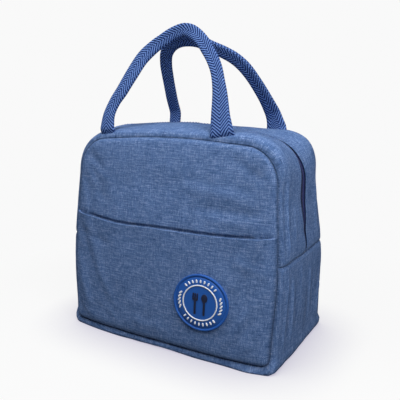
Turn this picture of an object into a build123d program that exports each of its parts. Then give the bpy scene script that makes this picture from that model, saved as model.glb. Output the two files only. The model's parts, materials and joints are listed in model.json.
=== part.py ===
"""Insulated lunch bag: fabric, foam and foil walls, a zipper that wraps over the top, and two webbing handles.

The origin is on the floor under the bag's middle. +Z is up, the front pocket faces -Y, and the width runs along X.
The walls fold outwards above FOLD_Z, so each wall is made as a lower piece and an upper piece.
"""

import math
import os

from build123d import *

# Body, seam to seam
HALF_WIDTH = 110.0
HALF_DEPTH_BOTTOM = 61.0
HALF_DEPTH_TOP = 46.0
BASE_RISE = 7.0  # height of the panels' bottom seam
BASE_SAG = 20.0  # the deeper, the wider the flat part of the bottom
SHOULDER_Z = 197.0  # height of the top corners before they are rounded
TOP_ARCH = 8.0  # rise of the top edge's middle above the shoulders
ARCH_RADIUS = 700.0
TOP_RADIUS = 34.0
BOTTOM_RADIUS = 14.0
CROWN_SIDE = 6.5  # how far the side walls stand out along the zipper
CROWN_TOP = 9.0

# Heights where the walls change
GUSSET_SEAM_Z = 95.5
POCKET_TOP_Z = 118.0
FOLD_Z = 120.0
FOLD_GAP = 0.4
SEAM_GAP = 0.3

# Layers, counted inwards from the face of the outer fabric
FABRIC = (0.0, 1.0)
TAPE = (1.15, 1.65)
GUSSET_FOAM = (1.8, 4.2)
PANEL_FOAM = (1.2, 4.2)
LINING = (4.3, 4.7)
SEAM_DEPTH = 1.1  # the gusset starts behind the panel's fabric
INNER_INSET = 4.9  # the panels' inner layers stop inside the gusset's
BINDING_WIDTH = 3.5
BINDING_DEPTH = (4.9, 7.9)

# Zipper
STRIP_EDGE_Y = 3.5
LINER_EDGE_Y = 7.5
TAPE_EDGE_Y = 14.0
CHAIN_GAP_Y = 0.6
COIL_EDGE_Y = 3.0
COIL = (0.0, 1.05)
STOP_Z = (96.0, 98.8)
STOP_THICKNESS = 1.8

# Slider and puller, on the left side
ZIP_X = -(HALF_WIDTH + CROWN_SIDE)
SLIDER_Z = 107.0
SLIDER_SIZE = (9.5, 11.0)  # along Y and Z
PLATE_OUT = (0.15, 1.5)  # the top plate, counted outwards from the fabric
PLATE_IN = (2.55, 3.55)  # the bottom plate, counted inwards
NECK_SIZE = (0.7, 4.0)
CROWN_Z = 8.8
CROWN_WIDTH = 3.2
CROWN_POST = 1.3
CROWN_OUT = (3.6, 4.7)
PIVOT_OUT = 2.55
BAR_RADIUS = 0.7
PULLER_SLOT = 5.6
PULLER_LENGTH = 27.0
PULLER_WIDTH = 7.4
PULLER_ARM = 1.5

# Pocket and patch, counted outwards from the front panel's face
POCKET_GAP = 1.4
POCKET_MARGIN = 4.0
PATCH_CENTRE = (45.0, 51.0)
PATCH_RADIUS = 27.5
PATCH_BASE = (2.5, 4.1)
PATCH_RAISED = 0.6
PATCH_RIM_WIDTH = 2.2
PATCH_RING_RADIUS = 17.2
PATCH_RING_WIDTH = 0.9
PATCH_BEAD_RADIUS = 0.95
PATCH_ORBIT = 21.4  # radius of the circle that the beads and leaves follow

# Base board
BOARD_SIZE = (184.0, 84.0)
BOARD_Z = (1.9, 3.5)
BOARD_CLEARANCE = 0.2

# Handles
HINGE_Z = 202.0
HANDLE_STANDOFF = 2.2
HANDLE_WIDTH = 15.0
HANDLE_THICKNESS = 6.0
TAB_WIDTH = 23.0
TAB_THICKNESS = 3.4
TAB_HEIGHT = 16.0
TAB_START = 0.8
HANDLE_START = 12.0
FRONT_HANDLE_LEAN = 22.6
BACK_HANDLE_LEAN = 25.0
# Route in the handle's own plane: across, then up from the hinge line, with the radius of each inner corner
FRONT_ROUTE = ((-77, 12), (-77, 29), (-50, 85), (-10, 112), (22, 89), (44, 47), (53, 12))
FRONT_RADII = (18, 40, 28, 40, 60)
BACK_ROUTE = ((-51, 12), (-51, 43), (-46, 89), (-16, 103), (34, 83), (62, 35), (71, 12))
BACK_RADII = (90, 18, 34, 60, 40)

LEAN = math.atan((HALF_DEPTH_BOTTOM - HALF_DEPTH_TOP) / (SHOULDER_Z - BASE_RISE))
FLOOR_Y = HALF_DEPTH_BOTTOM + BASE_RISE * math.tan(LEAN)  # where the panel's plane would meet the floor


def panel_plane(depth):
    """The front panel's leaning plane, moved into the bag by depth. Its X is the bag's X and its Y runs up the panel."""
    face = Plane(origin=(0, -FLOOR_Y, 0), x_dir=(1, 0, 0), z_dir=(0, -math.cos(LEAN), math.sin(LEAN)))
    return face.offset(-depth)


def along_panel(z, depth):
    """Distance up the panel's plane at that depth to the height z."""
    return (z + depth * math.sin(LEAN)) / math.cos(LEAN)


def bag_outline(inset, bottom, crown_side=0.0, crown_top=0.0):
    """Draws the bag's closed outline as seen from the front, for the BuildLine in use."""
    side = HALF_WIDTH + crown_side - inset
    shoulder = SHOULDER_Z + crown_top - inset
    top_radius = TOP_RADIUS + crown_side - inset
    bottom_radius = BOTTOM_RADIUS - inset
    FilletPolyline(
        (-side, bottom),
        (side, bottom),
        (side, shoulder),
        (0, shoulder + TOP_ARCH),
        (-side, shoulder),
        radius=(bottom_radius, bottom_radius, top_radius, ARCH_RADIUS, top_radius),
        close=True,
    )


def panel_outline(inset, depth):
    """Draws the outline of a panel's layer at that depth, for the BuildLine in use."""
    bag_outline(inset, along_panel(BASE_RISE + inset, depth))


def panel_plate(inset, start, end):
    """A flat layer of the front panel between two depths."""
    with BuildPart() as plate:
        with BuildSketch(panel_plane(start)):
            with BuildLine():
                panel_outline(inset, start)
            make_face()
        extrude(amount=start - end)
    return plate.part


def inside_gusset(inset):
    """The front half of the space enclosed by the gusset at that inset, which widens towards the zipper and is flat below."""
    with BuildPart() as half:
        with BuildSketch(panel_plane(SEAM_DEPTH)):
            with BuildLine():
                panel_outline(inset, SEAM_DEPTH)
            make_face()
        with BuildSketch(Plane.XZ):
            with BuildLine():
                bag_outline(inset, inset - BASE_SAG, CROWN_SIDE, CROWN_TOP)
            make_face()
        loft(ruled=True)
        split(bisect_by=Plane.XY.offset(inset), keep=Keep.TOP)
    return half.part


def gusset_half(layer):
    """The front half of one gusset layer, which runs round the bottom, sides and top."""
    with BuildPart() as half:
        add(inside_gusset(layer[0]))
        add(inside_gusset(layer[1]), mode=Mode.SUBTRACT)
    return half.part


def above(z):
    return (Plane.XY.offset(z), Keep.TOP)


def below(z):
    return (Plane.XY.offset(z), Keep.BOTTOM)


def in_front_of(y):
    """The region on the front side of the plane that stands y in front of the zipper line."""
    return (Plane.XZ.offset(y), Keep.TOP)


def behind(y):
    return (Plane.XZ.offset(y), Keep.BOTTOM)


def trimmed(shape, *cuts):
    """A copy of the shape, cut by each plane in turn."""
    with BuildPart() as piece:
        add(shape)
        for plane, keep in cuts:
            split(bisect_by=plane, keep=keep)
    return piece.part


def mirrored(shape):
    """The same piece for the back of the bag."""
    with BuildPart() as back:
        mirror(shape, about=Plane.XZ)
    return back.part


def both_halves(shape):
    """A piece that runs unbroken from front to back."""
    with BuildPart() as whole:
        add(shape)
        mirror(shape, about=Plane.XZ)
    return whole.part


def seam_binding():
    """The tape that wraps the raw edges of the panel and the gusset inside the bag."""
    with BuildPart() as binding:
        with BuildSketch(panel_plane(BINDING_DEPTH[0])):
            for inset, mode in ((INNER_INSET, Mode.ADD), (INNER_INSET + BINDING_WIDTH, Mode.SUBTRACT)):
                with BuildLine():
                    panel_outline(inset, BINDING_DEPTH[0])
                make_face(mode=mode)
        extrude(amount=BINDING_DEPTH[0] - BINDING_DEPTH[1])
    return binding.part


def pocket():
    """The front pocket: one layer of fabric, with its sides and bottom turned back to the front panel."""
    with BuildPart() as piece:
        with BuildSketch(panel_plane(-POCKET_GAP)):
            with BuildLine():
                panel_outline(0, -POCKET_GAP)
            make_face()
        extrude(amount=FABRIC[1])
        with BuildSketch(panel_plane(-0.1)):
            with BuildLine():
                panel_outline(0, -0.1)
            make_face()
            with BuildLine():
                panel_outline(POCKET_MARGIN, -0.1)
            make_face(mode=Mode.SUBTRACT)
        extrude(amount=POCKET_GAP - 0.1)
        split(bisect_by=Plane.XY.offset(POCKET_TOP_Z), keep=Keep.BOTTOM)
    return piece.part


def lower_gusset_liner(layer):
    """A foam or foil layer under the lower gusset and the zipper's ends, open where the slider's bottom plate runs."""
    with BuildPart() as liner:
        add(both_halves(trimmed(gusset_half(layer), below(FOLD_Z))))
        with Locations((0, 0, (GUSSET_SEAM_Z + FOLD_Z) / 2)):
            Box(4 * HALF_WIDTH, 2 * LINER_EDGE_Y, FOLD_Z - GUSSET_SEAM_Z, mode=Mode.SUBTRACT)
        if layer == GUSSET_FOAM:
            with Locations((0, 0, (BOARD_Z[0] + BOARD_Z[1]) / 2)):
                Box(
                    BOARD_SIZE[0] + 2 * BOARD_CLEARANCE,
                    BOARD_SIZE[1] + 2 * BOARD_CLEARANCE,
                    BOARD_Z[1] - BOARD_Z[0] + 2 * BOARD_CLEARANCE,
                    mode=Mode.SUBTRACT,
                )
    return liner.part


def base_board():
    """The stiff plastic sheet in the bottom."""
    with BuildPart() as board:
        with BuildSketch(Plane.XY.offset(BOARD_Z[0])):
            RectangleRounded(*BOARD_SIZE, 10)
        extrude(amount=BOARD_Z[1] - BOARD_Z[0])
    return board.part


def zip_stops():
    """A crimped stop across the chain at each end of the zipper."""
    with BuildPart() as stops:
        for side in (-1, 1):
            with Locations((side * (-ZIP_X - 0.1), 0, sum(STOP_Z) / 2)):
                Box(STOP_THICKNESS, 2 * COIL_EDGE_Y, STOP_Z[1] - STOP_Z[0])
    return stops.part


def slider():
    """The slider: a plate each side of the chain, a neck between them, and the bridge that holds the puller."""
    with BuildPart() as body:
        for plate in ((-PLATE_OUT[1], -PLATE_OUT[0]), PLATE_IN):
            with BuildSketch(Plane.YZ.offset(ZIP_X + plate[0])):
                with Locations((0, SLIDER_Z)):
                    RectangleRounded(*SLIDER_SIZE, 2.2)
            extrude(amount=plate[1] - plate[0])
        with BuildSketch(Plane.YZ.offset(ZIP_X - PLATE_OUT[0])):
            with Locations((0, SLIDER_Z)):
                Rectangle(*NECK_SIZE)
        extrude(amount=PLATE_OUT[0] + PLATE_IN[0])
        with BuildSketch(Plane.XZ.offset(-CROWN_WIDTH / 2)):
            with Locations((ZIP_X - (PLATE_OUT[1] + CROWN_OUT[1]) / 2, SLIDER_Z)):
                Rectangle(CROWN_OUT[1] - PLATE_OUT[1], CROWN_Z)
            with Locations((ZIP_X - (PLATE_OUT[1] + CROWN_OUT[0]) / 2, SLIDER_Z)):
                Rectangle(CROWN_OUT[0] - PLATE_OUT[1], CROWN_Z - 2 * CROWN_POST, mode=Mode.SUBTRACT)
        extrude(amount=CROWN_WIDTH)
        fillet(body.faces().sort_by(Axis.X)[0].edges(), 0.35)
    return body.part


def puller():
    """The puller hangs from a bar under the slider's bridge."""
    pivot_x = ZIP_X - PIVOT_OUT
    with BuildPart() as tab:
        with BuildSketch(Plane.YZ.offset(pivot_x - BAR_RADIUS)):
            with Locations((0, SLIDER_Z - PULLER_LENGTH / 2)):
                RectangleRounded(PULLER_WIDTH, PULLER_LENGTH + 2 * BAR_RADIUS, 2.0)
            with Locations((0, SLIDER_Z - BAR_RADIUS - (PULLER_SLOT - BAR_RADIUS) / 2)):
                Rectangle(PULLER_WIDTH - 2 * PULLER_ARM, PULLER_SLOT - BAR_RADIUS, mode=Mode.SUBTRACT)
            with Locations((0, SLIDER_Z - PULLER_LENGTH + 5.0)):
                SlotCenterToCenter(5.0, 2.6, rotation=90, mode=Mode.SUBTRACT)
        extrude(amount=2 * BAR_RADIUS)
    return tab.part


def on_patch(start):
    """The plane of the patch, start in front of the panel, centred on the patch."""
    plane = panel_plane(-start)
    return Plane(origin=plane.from_local_coords((*PATCH_CENTRE, 0)), x_dir=plane.x_dir, z_dir=plane.z_dir)


def patch_disc(radius, hole, start, end):
    """A disc or ring on the patch's centre."""
    with BuildPart() as disc:
        with BuildSketch(on_patch(start)):
            Circle(radius)
            if hole:
                Circle(hole, mode=Mode.SUBTRACT)
        extrude(amount=end - start)
    return disc.part


def patch_beads():
    """Raised dots in an arc at the top and the bottom of the patch."""
    with BuildPart() as beads:
        with BuildSketch(on_patch(PATCH_BASE[1])):
            for middle in (90, 270):
                for step in range(-4, 5):
                    angle = math.radians(middle + 11 * step)
                    with Locations((PATCH_ORBIT * math.cos(angle), PATCH_ORBIT * math.sin(angle))):
                        Circle(PATCH_BEAD_RADIUS)
        extrude(amount=PATCH_RAISED)
    return beads.part


def patch_sprigs():
    """A raised sprig of leaves at the left and right of the patch."""
    with BuildPart() as sprigs:
        with BuildSketch(on_patch(PATCH_BASE[1])):
            for middle in (0, 180):
                for step in range(-2, 3):
                    turn = middle + 9.5 * step
                    angle = math.radians(turn)
                    with Locations(Location((PATCH_ORBIT * math.cos(angle), PATCH_ORBIT * math.sin(angle)), turn + 55)):
                        Ellipse(1.9, 0.75)
        extrude(amount=PATCH_RAISED)
    return sprigs.part


def patch_cutlery():
    """A raised fork and spoon in the middle of the patch."""
    with BuildPart() as cutlery:
        with BuildSketch(on_patch(PATCH_BASE[1])):
            with Locations((4.6, 5.2)):
                Ellipse(2.9, 4.1)
            with Locations((4.6, -4.4)):
                SlotCenterToCenter(13.0, 1.7, rotation=90)
            with Locations((-4.6, -4.4)):
                SlotCenterToCenter(13.0, 1.7, rotation=90)
            with Locations((-4.6, 3.0)):
                SlotCenterToCenter(3.4, 2.2)
            for across in (-6.7, -4.6, -2.5):
                with Locations((across, 6.0)):
                    SlotCenterToCenter(5.4, 1.1, rotation=90)
        extrude(amount=PATCH_RAISED)
    return cutlery.part


def handle_plane(lean):
    """The plane of the front handle: through its hinge line, leaning over the bag by lean degrees."""
    tilt = math.radians(lean)
    hinge = (0, -HALF_DEPTH_TOP - HANDLE_STANDOFF, HINGE_Z)
    return Plane(origin=hinge, x_dir=(1, 0, 0), z_dir=(0, -math.cos(tilt), math.sin(tilt)))


def handle(lean, route, radii):
    """A webbing handle: a folded band on a flat route, with a wide flat tab at each end."""
    plane = handle_plane(lean)
    with BuildPart() as strap:
        with BuildSketch(plane):
            with BuildLine() as centre:
                FilletPolyline(*route, radius=radii)
            trace(centre.line, line_width=HANDLE_WIDTH)
        extrude(amount=HANDLE_THICKNESS / 2, both=True)
        with BuildSketch(plane):
            for across, _ in (route[0], route[-1]):
                with Locations((across, TAB_START + TAB_HEIGHT / 2)):
                    Rectangle(TAB_WIDTH, TAB_HEIGHT)
        extrude(amount=TAB_THICKNESS / 2, both=True)
    return strap.part


def write(name, shape):
    shape.label = name
    export_step(shape, os.path.join("parts", name + ".step"))


def front_and_back(name, shape):
    write("front_" + name, shape)
    write("back_" + name, mirrored(shape))


os.makedirs("parts", exist_ok=True)

# Panels, split where the walls fold
LOWER = below(FOLD_Z)
UPPER = above(FOLD_Z + FOLD_GAP)
for piece, plate in (
    ("panel", panel_plate(0, *FABRIC)),
    ("foam", panel_plate(INNER_INSET, *PANEL_FOAM)),
    ("lining", panel_plate(INNER_INSET, *LINING)),
    ("binding", seam_binding()),
):
    front_and_back(piece + "_lower", trimmed(plate, LOWER))
    front_and_back(piece + "_upper", trimmed(plate, UPPER))

# Strips, tapes and coils along the zipper: the arch over the top folds with the walls, the ends stay down
for piece, layer, near, far in (
    ("zip_panel", FABRIC, STRIP_EDGE_Y, None),
    ("zip_foam", GUSSET_FOAM, LINER_EDGE_Y, None),
    ("zip_lining", LINING, LINER_EDGE_Y, None),
    ("zip_tape", TAPE, CHAIN_GAP_Y, TAPE_EDGE_Y),
    ("zip_coil", COIL, CHAIN_GAP_Y, COIL_EDGE_Y),
):
    strip = trimmed(gusset_half(layer), in_front_of(near), *([behind(far)] if far else []))
    front_and_back(piece, trimmed(strip, UPPER))
    ends_start = STOP_Z[1] + 0.2 if piece == "zip_coil" else GUSSET_SEAM_Z + SEAM_GAP
    if piece in ("zip_panel", "zip_tape", "zip_coil"):
        front_and_back(piece + "_ends", trimmed(strip, above(ends_start), LOWER))

# Lower gusset and its layers
write("lower_gusset", both_halves(trimmed(gusset_half(FABRIC), below(GUSSET_SEAM_Z))))
write("lower_gusset_foam", lower_gusset_liner(GUSSET_FOAM))
write("lower_gusset_lining", lower_gusset_liner(LINING))
write("base_board", base_board())
write("zip_stops", zip_stops())

# Pocket and patch
write("front_pocket", pocket())
write("patch_base", patch_disc(PATCH_RADIUS, 0, *PATCH_BASE))
RAISED = (PATCH_BASE[1], PATCH_BASE[1] + PATCH_RAISED)
write("patch_rim", patch_disc(PATCH_RADIUS, PATCH_RADIUS - PATCH_RIM_WIDTH, *RAISED))
write("patch_ring", patch_disc(PATCH_RING_RADIUS, PATCH_RING_RADIUS - PATCH_RING_WIDTH, *RAISED))
write("patch_beads", patch_beads())
write("patch_sprigs", patch_sprigs())
write("patch_cutlery", patch_cutlery())

# Slider, puller and handles
write("slider", slider())
write("puller", puller())
write("front_handle", handle(FRONT_HANDLE_LEAN, FRONT_ROUTE, FRONT_RADII))
write("back_handle", mirrored(handle(BACK_HANDLE_LEAN, BACK_ROUTE, BACK_RADII)))
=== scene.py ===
"""Looks of the insulated lunch bag: cloth, webbing, zipper, patch and lining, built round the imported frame.

Lengths are in metres, and MM turns millimetres into them. Most cloth follows the panels' outline, seen from
the front: s is 0 at the middle of the top and 1 or -1 at the middle of the bottom, positive on the +X side.
A face is -1 at the front of the bag, where the pocket is, and 1 at the back.
"""

import json
import math

import bpy
import numpy as np
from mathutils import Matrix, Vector, noise


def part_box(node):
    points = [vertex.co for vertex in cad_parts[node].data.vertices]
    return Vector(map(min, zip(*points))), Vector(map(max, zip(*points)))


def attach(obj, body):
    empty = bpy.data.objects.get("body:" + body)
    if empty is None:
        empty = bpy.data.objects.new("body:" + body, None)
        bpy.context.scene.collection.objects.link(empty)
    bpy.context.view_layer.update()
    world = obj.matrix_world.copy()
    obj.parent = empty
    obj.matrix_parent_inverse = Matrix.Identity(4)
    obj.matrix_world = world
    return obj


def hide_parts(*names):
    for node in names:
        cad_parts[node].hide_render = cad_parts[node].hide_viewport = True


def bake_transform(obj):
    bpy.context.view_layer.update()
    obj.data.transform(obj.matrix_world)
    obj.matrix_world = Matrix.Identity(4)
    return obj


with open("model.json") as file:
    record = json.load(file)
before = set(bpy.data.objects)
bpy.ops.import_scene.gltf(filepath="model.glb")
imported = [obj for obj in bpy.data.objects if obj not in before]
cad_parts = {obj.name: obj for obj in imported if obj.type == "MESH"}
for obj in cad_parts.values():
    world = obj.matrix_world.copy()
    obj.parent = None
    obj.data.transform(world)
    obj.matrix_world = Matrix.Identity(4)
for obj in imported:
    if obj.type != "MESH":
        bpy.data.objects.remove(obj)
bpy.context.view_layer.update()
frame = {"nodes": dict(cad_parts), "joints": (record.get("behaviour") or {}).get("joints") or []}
JOINTS = {joint["name"]: joint for joint in frame["joints"]}
FRONT, BACK = -1, 1
MM = 0.001

# ---------------------------------------------------------------- sizes from the frame

panel_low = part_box("front_panel_lower")[0]
upper_low, upper_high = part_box("front_panel_upper")
coil_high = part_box("front_zip_coil")[1]
HALF_WIDTH = -panel_low.x
SEAM_LOW = panel_low.z
SEAM_TOP = upper_high.z
FACE_LOW = -panel_low.y
FACE_SLOPE = (upper_low.y - panel_low.y) / (upper_low.z - panel_low.z)
CROWN_SIDE = coil_high.x - HALF_WIDTH
CROWN_TOP = coil_high.z - SEAM_TOP
SEAM_DROP = 2 * MM  # the seam over the top sits a little lower than the walls' flat edge
GUSSET_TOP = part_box("lower_gusset")[1].z
POCKET_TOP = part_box("front_pocket")[1].z
FLOOR_GAP = 0.3 * MM

# The outline's corners, as the design has them
TOP_RADIUS = 34 * MM
BOTTOM_RADIUS = 6 * MM
TOP_ARCH = 8 * MM
ARCH_RADIUS = 700 * MM

# Seams and layers
GROOVE = 2.3 * MM  # how far a seam line lies behind the cloth beside it
GROOVE_WIDTH = 1.2 * MM
CLOTH = 0.8 * MM
PUFF = 0.9 * MM
BACK_CORNER = 3.0 * MM  # how much fuller the right top corner is behind the zipper
LIP = 4.6 * MM  # how far the cloth under the bag stands forward below the bottom seams


def smoothstep(t):
    t = np.clip(t, 0, 1)
    return t * t * (3 - 2 * t)


def curve_through(xs, ys):
    """A smooth function that is level at each of the given points."""
    xs, ys = np.asarray(xs, float), np.asarray(ys, float)

    def value(x):
        x = np.clip(x, xs[0], xs[-1])
        i = np.clip(np.searchsorted(xs, x, side="right") - 1, 0, len(xs) - 2)
        return ys[i] + (ys[i + 1] - ys[i]) * smoothstep((x - xs[i]) / (xs[i + 1] - xs[i]))

    return value


# The patch's middle, across and up. The full pocket carries it a little up and out from its flat place.
patch_low, patch_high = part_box("patch_base")
PATCH_AT = ((patch_low.x + patch_high.x) / 2 + 1.6 * MM, (patch_low.z + patch_high.z) / 2 + 5.3 * MM)
PATCH_RADIUS = (patch_high.x - patch_low.x) / 2 / MM + 0.3
PATCH_SQUASH = 0.93  # the patch is a little wider than it is tall

# ---------------------------------------------------------------- the outline


def outline_table():
    """Closely spaced points of the outline's right half with their normals, from the top down."""
    slope = math.atan(TOP_ARCH / HALF_WIDTH)
    arch_z = SEAM_TOP - SEAM_DROP - ARCH_RADIUS
    shoulder = arch_z + ARCH_RADIUS / math.cos(slope) - TOP_ARCH
    corner_z = shoulder - TOP_RADIUS * math.tan((math.pi / 2 - slope) / 2)
    arcs = (
        (0, arch_z, ARCH_RADIUS, 0, slope),
        (HALF_WIDTH - TOP_RADIUS, corner_z, TOP_RADIUS, slope, math.pi / 2),
        (HALF_WIDTH - BOTTOM_RADIUS, SEAM_LOW + BOTTOM_RADIUS, BOTTOM_RADIUS, math.pi / 2, math.pi),
        (0, SEAM_LOW, 0, math.pi, math.pi),
    )
    rows = []
    for centre_x, centre_z, radius, start, end in arcs:
        for angle in np.linspace(start, end, 33):
            across, up = math.sin(angle), math.cos(angle)
            rows.append((centre_x + radius * across, centre_z + radius * up, across, up))
    rows = np.array(rows)
    steps = np.hypot(*np.diff(rows[:, :2], axis=0).T)
    keep = np.concatenate([[True], steps > 1e-9])
    length = np.concatenate([[0], np.cumsum(steps)])[keep]
    return length / length[-1], rows[keep], length[-1]


RIM_S, RIM, HALF_LENGTH = outline_table()
SIDE_START = int(np.argmax(RIM[:, 0]))


def outline(s):
    """x, z and the outward normal of the outline at each s. Past 1 it goes on up the left side."""
    s = np.asarray(s, float)
    s = np.where(s > 1, s - 2, s)
    side = np.where(s < 0, -1.0, 1.0)
    x, z, across, up = (np.interp(np.abs(s), RIM_S, RIM[:, i]) for i in range(4))
    size = np.hypot(across, up)
    return x * side, z, across * side / size, up / size


def s_at_height(z):
    """s where the right side passes the height z."""
    return float(np.interp(-z, -RIM[SIDE_START:, 1], RIM_S[SIDE_START:]))


def edge_heights(x):
    """The outline's lowest and highest z at each x."""
    x = np.abs(x)
    high = np.interp(x, RIM[: SIDE_START + 1, 0], RIM[: SIDE_START + 1, 1])
    low = np.interp(-x, -RIM[SIDE_START:, 0], RIM[SIDE_START:, 1])
    return low, high


def edge_distance(x, z):
    """How far inside the outline each point lies."""
    x = np.abs(x)
    low, high = edge_heights(np.minimum(x, HALF_WIDTH))
    flat = np.minimum(np.minimum(HALF_WIDTH - x, high - z), z - low)
    corners = ((RIM[SIDE_START, 1], TOP_RADIUS, 1), (SEAM_LOW + BOTTOM_RADIUS, BOTTOM_RADIUS, -1))
    for centre_z, radius, upwards in corners:
        across, up = x - (HALF_WIDTH - radius), (z - centre_z) * upwards
        corner = (across > 0) & (up > 0)
        flat = np.where(corner, radius - np.hypot(across, up), flat)
    return np.maximum(flat, 0)


# ---------------------------------------------------------------- how the cloth bulges

BELLY_HEIGHTS = np.array([0, 50, 110, 165, 205]) * MM
belly_curve = curve_through(BELLY_HEIGHTS, np.array([6.3, 8.6, 7.6, 3.6, 0]) * MM)
S_GUSSET = s_at_height(GUSSET_TOP)
S_CORNER = s_at_height(SEAM_LOW + BOTTOM_RADIUS)
S_BEND = S_CORNER + BOTTOM_RADIUS * math.pi / 4 / HALF_LENGTH
S_SIDE = [s_at_height(height * MM) for height in (160, 130, 105, 50)]
RIDGE_PLACES = [0, 0.25, *S_SIDE, S_CORNER, S_BEND, 1]
right_ridge = curve_through(RIDGE_PLACES, np.array([8.0, 11.0, 4.8, 5.4, 6.6, 6.6, 7.0, 11.0, 6.7]) * MM)
left_ridge = curve_through(RIDGE_PLACES, np.array([8.0, 8.6, 8.2, 10.0, 10.8, 10.8, 7.6, 9.5, 6.7]) * MM)
right_crown = curve_through(
    [0, 0.1, 0.165, 0.215, 0.254, 0.32, 0.362, 0.437, 0.488, s_at_height(50 * MM), S_CORNER, S_BEND, 1],
    np.array([11, 10, 7, 4.4, 4.0, 3.6, 3.6, 6.5, 9, 8.6, 7.6, 11.0, 6.7]) * MM,
)


def ridge(s):
    """How far the side and top walls stand out between a seam and the zipper."""
    s = np.where(np.asarray(s) > 1, np.asarray(s) - 2, s)
    return np.where(s < 0, left_ridge(-s), right_ridge(s))


def belly(x, z, face):
    """How far a panel stands out from its flat plane, seams included."""
    share = 1 if face == FRONT else 0.8
    return share * belly_curve(z) * (1 - np.abs(x / HALF_WIDTH) ** 3.5)


def face_depth(x, z, face):
    """Distance from the bag's middle to a panel's cloth, without its folds. The back leans in at its top."""
    shift = 4.3 * MM if face == FRONT else 1.5 * MM - 6.5 * MM * smoothstep((z - 80 * MM) / (90 * MM))
    return FACE_LOW - FACE_SLOPE * (z - SEAM_LOW) + belly(x, z, face) + shift


def groove(z):
    """Depth of the seam line behind the cloth beside it, less along the bottom."""
    return GROOVE - 1.0 * MM * smoothstep((SEAM_LOW + 9 * MM - z) / (8 * MM))


def seam_depth(x, z, face):
    """Distance from the bag's middle to the seam line round a panel."""
    return face_depth(x, z, face) - groove(z)


def waist(z):
    """How far the seams stand out sideways: a little more below the middle, a little less above it."""
    full = 3 * MM * np.exp(-(((z - 80 * MM) / (45 * MM)) ** 2))
    thin = 1.6 * MM * np.exp(-(((z - 165 * MM) / (26 * MM)) ** 2))
    return full - thin


def crown(s, across, up):
    """How far the cloth stands out from the outline at the zipper. The slider's side keeps to the frame."""
    s = np.where(np.asarray(s) > 1, np.asarray(s) - 2, s)
    left = CROWN_SIDE * np.abs(across) + (CROWN_TOP + SEAM_DROP) * np.maximum(up, 0)
    left = left + (SEAM_LOW - FLOOR_GAP) * np.maximum(-up, 0)
    return np.where(s < 0, left, right_crown(np.abs(s)))


def lip_swell(x):
    """The cloth under the bag stands out most near the right corner."""
    return 2.6 * MM * np.exp(-(((x - 94 * MM) / (16 * MM)) ** 2))


def creases(u, v, folds):
    """Sum of soft folds. Each runs from one (u, v) to another and has a width and a height, in mm."""
    total = np.zeros(np.broadcast(u, v).shape)
    for u0, v0, u1, v1, width, height in folds:
        du, dv = (u1 - u0) * MM, (v1 - v0) * MM
        along = ((u - u0 * MM) * du + (v - v0 * MM) * dv) / (du * du + dv * dv)
        away = np.hypot(u - u0 * MM - du * np.clip(along, 0, 1), v - v0 * MM - dv * np.clip(along, 0, 1))
        taper = smoothstep(np.clip(along, 0, 1) * 4) * smoothstep((1 - np.clip(along, 0, 1)) * 4)
        total += height * MM * taper * np.exp(-((away / (width * MM)) ** 2))
    return total


def ripple(points, size, seed):
    """Smooth noise from -1 to 1 at each point, with waves of about that size."""
    flat = points.reshape(-1, 3) / size
    values = [noise.noise(Vector(p) + Vector((seed * 17.3, seed * 5.1, seed * 9.7))) for p in flat]
    return np.array(values).reshape(points.shape[:-1])


# Each fold: where it starts and ends (u, v, u, v), its width and its height. On the panels u is x and v is z.
FRONT_FOLDS = (
    (8, 158, 96, 150, 5, 1.1),
    (20, 141, 102, 139, 4, -0.9),
    (40, 130, 104, 132, 3.5, 0.8),
    (-98, 176, -62, 150, 4, 0.8),
    (-96, 150, -58, 133, 3.5, -0.7),
    (-100, 188, -74, 162, 4, -0.6),
    (62, 190, 104, 165, 4.5, -0.8),
)
BACK_FOLDS = (
    (-80, 150, 30, 160, 6, 1.0),
    (-20, 120, 90, 112, 5, -0.9),
    (-90, 60, -20, 40, 6, 0.9),
    (30, 70, 95, 90, 6, -0.8),
)
POCKET_FOLDS = (
    (-104, 104, -60, 92, 4, -0.7),
    (-100, 60, -88, 20, 5, 0.8),
    (70, 100, 104, 88, 4, 0.6),
    (86, 80, 92, 22, 5, -0.6),
    (-40, 24, 20, 20, 5, 0.7),
)
# Folds of the side walls: u is height and v is distance from the bag's middle, negative to the front
SIDE_FOLDS = (
    (8, -49, 92, -45, 2.0, 1.3),
    (16, -41, 90, -38, 2.2, -1.2),
    (12, -31, 88, -33, 2.2, 1.5),
    (20, -20, 78, -24, 2.4, -1.1),
    (34, -8, 92, -12, 2.6, 1.2),
    (10, 2, 66, 8, 3.0, -1.2),
    (18, 16, 84, 12, 2.6, 1.3),
    (24, 28, 80, 24, 2.6, -1.3),
    (14, 38, 60, 48, 2.2, 1.5),
    (40, 36, 90, 40, 2.4, -0.8),
    (94, -45.5, 176, -39.5, 1.9, 1.9),
    (96, -50.5, 176, -44.5, 1.8, -0.9),
    (98, -39, 164, -34, 2.4, -1.0),
    (104, -27, 150, -24, 2.6, 0.8),
    (112, -14, 160, -17, 3.0, 0.6),
    (104, 30, 165, 32, 3.0, 0.9),
    (110, 40, 150, 42, 2.4, -0.8),
)


def settled_folds(x, z, face):
    """The simulated folds at x and z."""
    low, high = edge_heights(x)
    column = np.clip((x / HALF_WIDTH + 1) / 2, 0, 1) * (SETTLE_COLUMNS - 1)
    row = np.clip((z - low) / (high - low), 0, 1) * (SETTLE_ROWS - 1)
    i = np.minimum(row.astype(int), SETTLE_ROWS - 2)
    j = np.minimum(column.astype(int), SETTLE_COLUMNS - 2)
    up, over = row - i, column - j
    field = SETTLED[face]
    lower = field[i, j] * (1 - over) + field[i, j + 1] * over
    upper = field[i + 1, j] * (1 - over) + field[i + 1, j + 1] * over
    return lower * (1 - up) + upper * up


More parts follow.
